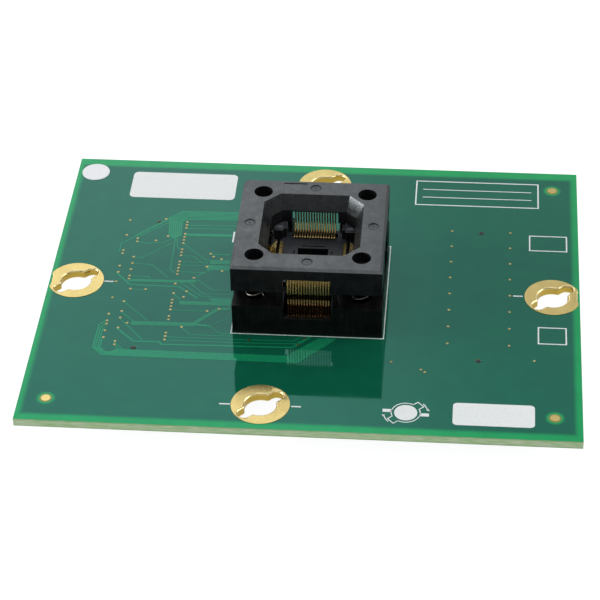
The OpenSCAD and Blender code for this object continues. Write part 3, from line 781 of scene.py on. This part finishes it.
def windSpring(nodeName, spec):
    low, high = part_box(nodeName)
    middle = (low + high) / 2
    wire = spec["wire"] * mm
    length = high.z - low.z
    radius = (high.x - low.x - wire) / 2
    closed = (spec["closedTurns"], wire * spec["closeRise"] * spec["closedTurns"])
    stretches = [closed, (spec["openTurns"], length - wire - 2 * closed[1]), closed]
    bm = bmesh.new()
    at = Matrix.Translation((middle.x + radius, middle.y, low.z + wire / 2))
    at = at @ Matrix.Rotation(math.pi / 2, 4, "X")
    made = bmesh.ops.create_circle(bm, radius=wire / 2, segments=spec["sides"], matrix=at)
    ring = list({edge for vert in made["verts"] for edge in vert.link_edges})
    for turns, rise in stretches:
        steps = round(turns * spec["steps"])
        spun = bmesh.ops.spin(bm, geom=ring, cent=middle, axis=(0, 0, 1), dvec=(0, 0, rise / steps),
                              angle=turns * math.tau, steps=steps)
        ring = kept(spun["geom_last"], bmesh.types.BMEdge)
    bmesh.ops.holes_fill(bm, edges=bm.edges, sides=spec["sides"])
    piece = newPiece(nodeName + "_coil", bm, ["springSteel"], smooth=60)
    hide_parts(nodeName)
    carried(piece, "card")
    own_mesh(piece)


for cornerName in ("front_left", "front_right", "back_left", "back_right"):
    windSpring("spring_" + cornerName, springSpec)
print("springs wound")


# Contacts: one bent stamping each, cut as an outline in distance from the middle and height above the card
contactSpec = {
    "count": 16, "pitch": 0.5, "thick": 0.28, "edge": 0.03, "weld": 0.0005, "tailSpots": (9.4, 10.7),
    "tail": 0.4, "tailFoot": -2.8, "root": (8.95, 11.05), "rootLow": 0.3, "rootHigh": 0.9, "stemOut": 9.85,
    "bend": 0.7,
}
# The outline goes up the outside, round the lever's tip, over beam and nose and back down the inside
contactParts = {
    "shoulder": [(9.85, 3.7), (10.02, 4.05), (9.93, 4.45), (9.7, 5.0)],
    "lever": [(9.9, 5.7), (10.06, 6.5), (9.88, 8.05), (9.6, 9.45), (9.7, 10.1), (9.98, 10.9)],
    "leverTip": [(9.93, 11.17), (9.75, 11.25), (9.57, 11.17), (9.5, 11.0)],
    "crotch": [(9.38, 9.6), (9.36, 8.9), (9.22, 8.5), (8.68, 7.6), (8.3, 7.0), (8.1, 6.83)],
    "beam": [(6.92, 8.18), (6.78, 8.27), (6.62, 8.24)],
    "nose": [(5.74, 7.99), (5.59, 7.88), (5.56, 7.7), (5.66, 7.55), (5.85, 7.51)],
    "inside": [(6.59, 7.7), (8.9, 5.05), (8.95, 4.8)],
}


def contactOutline(spec, tailSpot):
    left, right = tailSpot - spec["tail"] / 2, tailSpot + spec["tail"] / 2
    low, high, foot = spec["rootLow"], spec["rootHigh"], spec["tailFoot"]
    start, end = spec["root"]
    lower = [(start, low), (left, low), (left, foot), (right, foot), (right, low), (end, low), (end, high),
             (spec["stemOut"], high)]
    return lower + [spot for part in contactParts.values() for spot in part]


def stampRow(side, spec):
    bm = bmesh.new()
    for index, spot in enumerate(rowSpots(spec)):
        outline = contactOutline(spec, spec["tailSpots"][index % 2])
        y = spot - spec["thick"] / 2
        face = bm.faces.new([bm.verts.new((r * mm, y * mm, cardTop + z * mm)) for r, z in outline])
        pushFaces(bm, [face], (0, spec["thick"] * mm, 0))
    bmesh.ops.remove_doubles(bm, verts=bm.verts, dist=spec["weld"] * mm)
    bmesh.ops.recalc_face_normals(bm, faces=bm.faces)
    roundEdges(bm, sharpEdges(bm, angle=60), spec["edge"], segments=1)
    turn = Matrix.Rotation(math.radians(sideTurns[side]), 4, "Z")
    bmesh.ops.transform(bm, matrix=turn, verts=bm.verts)
    piece = newPiece("contact_row_" + side, bm, ["contactGold"], smooth=10)
    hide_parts("contact_stems_" + side, "contact_arms_" + side)
    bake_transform(piece)


for sideName in sideTurns:
    stampRow(sideName, contactSpec)
print("contact rows stamped")


# Comb of the seat: a tooth on each side of every contact's beam
combSpec = {"count": 17, "pitch": 0.5, "wide": 0.13,
            "tooth": [(6.25, 6.9), (6.8, 6.9), (6.8, 8.5), (6.45, 8.5), (6.25, 8.3)]}


def cutComb(name, spec):
    bm = bmesh.new()
    for angle in sideTurns.values():
        turn = Matrix.Rotation(math.radians(angle), 4, "Z")
        along = turn @ Vector((0, spec["wide"] * mm, 0))
        for spot in rowSpots(spec):
            y = spot - spec["wide"] / 2
            corners = [Vector((r * mm, y * mm, cardTop + z * mm)) for r, z in spec["tooth"]]
            face = bm.faces.new([bm.verts.new(turn @ corner) for corner in corners])
            pushFaces(bm, [face], along)
    carried(newPiece(name, bm, ["basePlastic"], smooth=30), "card")


cutComb("seat_comb", combSpec)
print("comb cut")


# Lines in the copper, as widths and routes in millimetres from the card's middle
lineSpec = {"height": 0.012, "layers": 13, "step": 0.001}
lines = {
    0.22: [
        [(-29.5, 20.3), (-37.9, 11.9), (-37.9, 9.4)], [(-29.2, 19.6), (-35.2, 13.9)],
        [(-29.3, 20.9), (-35.6, 14.6)],
        [(-27.6, 14.4), (-27.4, 4.4), (-26.3, 3.2)], [(-27.3, 14.2), (-26.9, 11.6), (-26.2, 10.8)],
        [(-34.9, 12.8), (-32.8, 12.5), (-29.9, 12.9), (-28.2, 14.3)],
        [(-34.9, 7.9), (-33.4, 7.8), (-28.2, 12.9)],
        [(-25.9, 17.6), (-16.9, 17.8)], [(-25.9, 18.6), (-16.4, 18.9)],
        [(-25.9, 12.7), (-20.8, 7.6), (-16.4, 7.4)],
        [(-26.0, 8.8), (-23.5, 8.8), (-21.6, 6.8), (-16.3, 6.8)],
        [(-26.0, 6.9), (-20.6, 6.9)], [(-26.0, 5.9), (-20.6, 5.9)], [(-26.0, 3.9), (-20.6, 3.8)],
        [(-22.6, 2.1), (-20.2, 4.6), (-16.2, 5.6)], [(-35.0, 5.9), (-31.2, 5.8), (-27.5, 1.9)],
        [(-22.2, 1.5), (-21.7, 1.4), (-18.8, -1.4), (-14.0, -1.4)],
        [(-23.8, 1.2), (-20.3, -2.7), (-14.0, -2.6)], [(-24.9, 0.4), (-20.7, -3.4), (-14.0, -3.6)],
        [(-34.3, -2.0), (-31.4, -2.0)], [(-25.9, -2.9), (-24.5, -4.6)], [(-26.0, -7.8), (-19.1, -7.8)],
        [(-34.9, -5.8), (-29.7, -11.3)], [(-35.0, -8.9), (-32.4, -11.5)],
        [(-21.1, -12.0), (-18.2, -12.1), (-14.9, -9.6)], [(-18.2, -12.2), (-15.9, -14.2), (-13.9, -14.2)],
        [(-35.0, -10.8), (-30.0, -16.8)], [(-23.2, -12.8), (-21.4, -14.8), (-13.9, -14.8)],
        [(-25.8, -15.7), (-13.0, -15.7), (-2.4, -15.5), (-1.0, -14.2)],
        [(-25.8, -16.7), (-13.0, -16.6), (-2.0, -16.3), (0.2, -14.2)],
        [(-35.1, -17.7), (-33.2, -19.7)], [(-35.0, -18.6), (-33.5, -20.2)],
    ],
    0.3: [[(-37.3, -16.6), (-37.44, -19.5), (-36.2, -20.58), (-2.2, -20.71), (3.76, -14.4)]],
    0.4: [[(-35.0, -13.7), (-31.6, -17.2), (-26.8, -17.1), (-26.3, -17.8), (-2.6, -17.3), (0.6, -14.2)],
          [(-37.5, 3.0), (-34.5, -0.5), (-25.1, -0.7), (-21.2, -4.0)]],
    0.8: [[(-35.0, 1.0), (-25.0, 1.2), (-22.2, 1.4)], [(-25.8, 15.9), (-16.8, 16.1)],
          [(-21.3, -11.2), (-17.3, -6.8), (-15.0, -6.6)]],
    0.6: [[(-21.2, -11.6), (-18.2, -11.95)]],
    1.1: [[(-32.8, -11.6), (-20.9, -11.35)], [(-24.6, -5.1), (-15.0, -5.0)]],
    1.6: [[(-20.6, 6.2), (-16.3, 6.2)]],
}
# Bundles of parallel lines: the outermost route, the step to the next line at each point, count and width
bundles = [
    {"route": [(-14.0, 23.2), (-27.3, 22.9), (-29.4, 20.8), (-28.9, 15.2), (-27.6, 14.2)],
     "step": [(0, -0.42), (0.3, -0.42), (0.42, -0.15), (0.38, 0.0), (0.03, 0.05)], "count": 7, "width": 0.3},
    {"route": [(-37.4, -11.8), (-38.5, -13.2), (-38.7, -19.5), (-36.8, -21.45), (-1.3, -21.55),
               (5.2, -14.4)],
     "step": [(0.0, -0.95), (0.45, -0.5), (0.42, 0.0), (0.2, 0.3), (-0.3, 0.28), (-0.48, 0.0)],
     "count": 3, "width": 0.3},
    {"route": [(-35.4, -20.35), (-2.6, -20.43), (3.3, -14.4)],
     "step": [(0.4, 0.28), (-0.3, 0.28), (-0.48, 0.0)], "count": 3, "width": 0.3},
    {"route": [(-19.2, -4.0), (-15.0, -3.9)], "step": [(0.45, -0.42), (0.0, -0.42)],
     "count": 5, "width": 0.45},
    {"route": [(-35.0, 2.1), (-31.4, 2.0), (-30.8, 1.4)], "step": [(0, 0), (0, 0), (0, 0)],
     "count": 1, "width": 0.24},
    {"route": [(-20.3, 9.75), (-16.4, 9.65)], "step": [(0, 0), (0, 0)], "count": 1, "width": 0.36},
    {"route": [(-20.2, 7.7), (-16.3, 7.8)], "step": [(0.0, -0.4), (0.0, -0.4)], "count": 3, "width": 0.42},
]


def bundleRoute(bundle, index):
    return [(x + dx * index, y + dy * index) for (x, y), (dx, dy) in zip(bundle["route"], bundle["step"])]


def routeLines(name, base, spec):
    strips = [(width, route) for width, routes in lines.items() for route in routes]
    for bundle in bundles:
        strips += [(bundle["width"], bundleRoute(bundle, index)) for index in range(bundle["count"])]
    bm = bmesh.new()
    for index, (width, route) in enumerate(strips):
        layer = index % spec["layers"]  # crossing lines lie one above the other
        addStrip(bm, route, width, base, (spec["height"] + layer * spec["step"]) * mm)
    carried(newPiece(name, bm, ["trace"], smooth=20), "card")


routeLines("copper_lines", cardTop, lineSpec)
print("lines routed")


# Plated through holes: columns on a grid along the connectors, and single ones
viaSpec = {"radius": 0.25, "hole": 0.12, "height": 0.045, "wellShare": 0.8, "segments": 14, "grid": 0.98,
           "start": 0.05}
viaColumns = {
    -26.0: [20, 19, 18, 16, 15, 14, 13, 11, 10, 9, 7, 6, 5, 4, 3, 0,
            -3, -5, -6, -7, -8, -10, -11, -15, -16, -17],
    -37.3: [20, 15, 10, 9, 5, 3, 0, -5, -10, -12, -13, -15, -17],
    -35.0: [14, 13, 8, 6, 4, 2, 1, -6, -9, -11, -14, -18, -19],
    25.72: [20, 15, 10, 5, 0, -5, -10, -15],
    36.95: [20, 15, 10, 5, 0, -5, -10, -15],
}
viaSingles = [
    (-34.3, -2.0), (-31.4, -2.0), (-30.3, 20.4), (-29.25, 14.8), (-31.4, 13.3), (-20.35, 9.7), (-19.7, 8.8),
    (-18.1, 8.1), (-23.6, -2.2), (-24.0, -3.9), (-22.7, 2.0), (-20.6, 5.6), (-17.6, 4.4), (-19.1, -7.85),
    (-16.95, -7.1), (-23.3, -12.8), (-33.5, -12.2), (41.5, -18.7), (15.75, -20.5), (21.2, -22.35),
    (21.9, -23.0), (-10.55, -15.85), (-1.45, -16.6), (-0.4, -14.85),
]


def viaSpots(spec):
    spots = list(viaSingles)
    for x, rows in viaColumns.items():
        spots += [(x, spec["start"] + spec["grid"] * row) for row in rows]
    return spots


def plateHoles(name, spec, base, up):
    bm = bmesh.new()
    for x, y in viaSpots(spec):
        top = addDisc(bm, x, y, spec["radius"], base, up * spec["height"] * mm, spec["segments"])
        bmesh.ops.inset_region(bm, faces=top, thickness=(spec["radius"] - spec["hole"]) * mm)
        # the well takes the painted shadow
        for face in raiseFaces(bm, top, -up * spec["height"] * spec["wellShare"] * mm):
            face.material_index = 1
    carried(newPiece(name, bm, ["viaGold", "dark"], smooth=50), "card")


plateHoles("top_vias", viaSpec, cardTop, 1)
plateHoles("under_vias", viaSpec, cardUnder, -1)
print("plated holes set:", len(viaSpots(viaSpec)))


# White print: outline of the socket, ticks at the rings, blank panels and frames, lock sign
inkSpec = {"height": 0.018 * mm, "line": 0.32, "fine": 0.18, "socket": 13.95, "frameShare": 0.8,
           "ruleShare": 0.6, "ruleInset": 1.2}
tickRoutes = [[(-39.6, 0.2), (-37.8, 0.2)], [(37.6, 0.2), (39.4, 0.2)], [(-14.1, -33.6), (-12.2, -33.6)],
              [(-1.3, -33.6), (0.4, -33.6)], [(-16.65, 13.6), (-16.65, 17.0)]]
panels = [{"low": (-38.6, 27.4), "high": (-17.6, 36.0), "corner": 1.0},
          {"low": (27.2, -36.9), "high": (41.6, -31.0), "corner": 0.8}]
frames = [{"low": (18.4, 28.2), "high": (42.2, 35.9), "rules": (30.75, 33.35)},
          {"low": (42.4, -13.6), "high": (47.2, -9.2), "rules": ()},
          {"low": (40.8, 14.4), "high": (47.6, 18.8), "rules": ()}]
lockSign = {"middle": (18.95, -34.2), "disc": 2.05, "ring": 2.45, "line": 0.18, "bar": (2.45, 4.1),
            "barWide": 0.8, "slotTurn": 42, "slotHalf": 0.7, "slotEnd": 3.4, "arrow": 4.0,
            "arrowSpan": (40, 13), "head": 0.34, "headTurn": -6}


def drawLockSign(bm, spec, base, height):
    x, y = spec["middle"]
    addDisc(bm, x, y, spec["disc"], base, height, segments=48)
    gap = math.degrees(math.asin(spec["slotHalf"] / spec["ring"]))
    near = spec["ring"] * math.cos(math.radians(gap))
    for half in (0, 180):
        turn = spec["slotTurn"] + half
        bow = arcRoute(x, y, spec["ring"], turn + gap, turn + 180 - gap, 18)
        addStrip(bm, bow, spec["line"], base, height)
        along = Vector((math.cos(math.radians(turn)), math.sin(math.radians(turn))))
        out = Vector((-along.y, along.x)) * spec["slotHalf"]
        middle = Vector((x, y))
        inner, outer = middle + along * near, middle + along * spec["slotEnd"]
        tab = [inner - out, outer - out, outer + out, inner + out]
        addStrip(bm, tab, spec["line"], base, height)
        side = 1 if half == 0 else -1
        bar = [(x + side * away, y) for away in spec["bar"]]
        addStrip(bm, bar, spec["barWide"], base, height)
        start, end = (half + angle for angle in spec["arrowSpan"])
        arrow = arcRoute(x, y, spec["arrow"], start, end, 8)
        addStrip(bm, arrow, spec["line"], base, height)
        tip = Matrix.Translation((arrow[-1][0] * mm, arrow[-1][1] * mm, base))
        headTurn = math.radians(half + spec["headTurn"])
        head = bmesh.ops.create_circle(bm, cap_ends=True, radius=spec["head"] * mm, segments=3,
                                       matrix=tip @ Matrix.Rotation(headTurn, 4, "Z"))
        raiseFaces(bm, head["verts"][0].link_faces[:], height)


def printMarks(name, spec):
    bm = bmesh.new()
    base, height = cardTop, spec["height"]
    reach = spec["socket"]
    addStrip(bm, boxRoute((-reach, -reach), (reach, reach)), spec["fine"], base, height, True)
    for route in tickRoutes:
        addStrip(bm, route, spec["line"], base, height)
    for panel in panels:
        addPanel(bm, panel["low"], panel["high"], panel["corner"], base, height)
    for box in frames:
        around = boxRoute(box["low"], box["high"])
        addStrip(bm, around, spec["line"] * spec["frameShare"], base, height, True)
        for rule in box["rules"]:
            span = [(box["low"][0] + spec["ruleInset"], rule), (box["high"][0] - spec["ruleInset"], rule)]
            addStrip(bm, span, spec["line"] * spec["ruleShare"], base, height)
    drawLockSign(bm, lockSign, base, height)
    carried(newPiece(name, bm, ["ink"], smooth=30), "card")


printMarks("white_print", inkSpec)
print("print laid on")


# Solder pads of the connectors' feet under the card
padSpec = {"long": 1.9, "wide": 0.58, "corner": 0.12, "height": 0.05, "count": 34, "pitch": 1.0,
           "fromEdge": 0.65}


def layPads(name, spec):
    bm = bmesh.new()
    long, wide = spec["long"] / 2, spec["wide"] / 2
    for side in ("left", "right"):
        low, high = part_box("connector_housing_" + side)
        for edge, way in ((low.x, -1), (high.x, 1)):
            x = edge / mm + way * spec["fromEdge"]
            for y in rowSpots(spec):
                addPanel(bm, (x - long, y - wide), (x + long, y + wide), spec["corner"], cardUnder,
                         -spec["height"] * mm, rounds=2)
    carried(newPiece(name, bm, ["solderTin"], smooth=50), "card")


layPads("connector_pads", padSpec)
print("pads laid")


# Pale floor under the part, wider than any view of it, with a glow that keeps it white
floorSpec = {"half": 3.0, "cells": 6, "drop": 0.05, "clouds": 3, "tone": (0.24, 0.24, 0.24, 1),
             "light": (0.26, 0.26, 0.26, 1), "glow": 0.2, "seenGlow": 0.74, "mirrorGlow": 0.4}


def floorMaterial(spec):
    material, tree, shader = newMaterial("paleFloor", {"Roughness": 0.9, "Emission Color": (1, 1, 1, 1)})
    clouds = noise(tree, objectPlace(tree), spec["clouds"], 2)
    feed(tree, shader["Base Color"], mixColour(tree, clouds, spec["tone"], spec["light"]))
    rays = newNode(tree, "ShaderNodeLightPath").outputs
    seen = times(tree, rays["Is Camera Ray"], spec["seenGlow"])
    mirrored = times(tree, rays["Is Glossy Ray"], spec["mirrorGlow"])
    glow = calc(tree, "ADD", calc(tree, "ADD", seen, mirrored), spec["glow"])
    feed(tree, shader["Emission Strength"], glow)
    return material


def layFloor(spec):
    bm = bmesh.new()
    bmesh.ops.create_grid(bm, x_segments=spec["cells"], y_segments=spec["cells"], size=spec["half"],
                          matrix=Matrix.Translation((0, 0, -spec["drop"] * mm)))
    looks["floor"] = floorMaterial(spec)
    floor = newPiece("floor", bm, ["floor"])


layFloor(floorSpec)
print("floor laid")
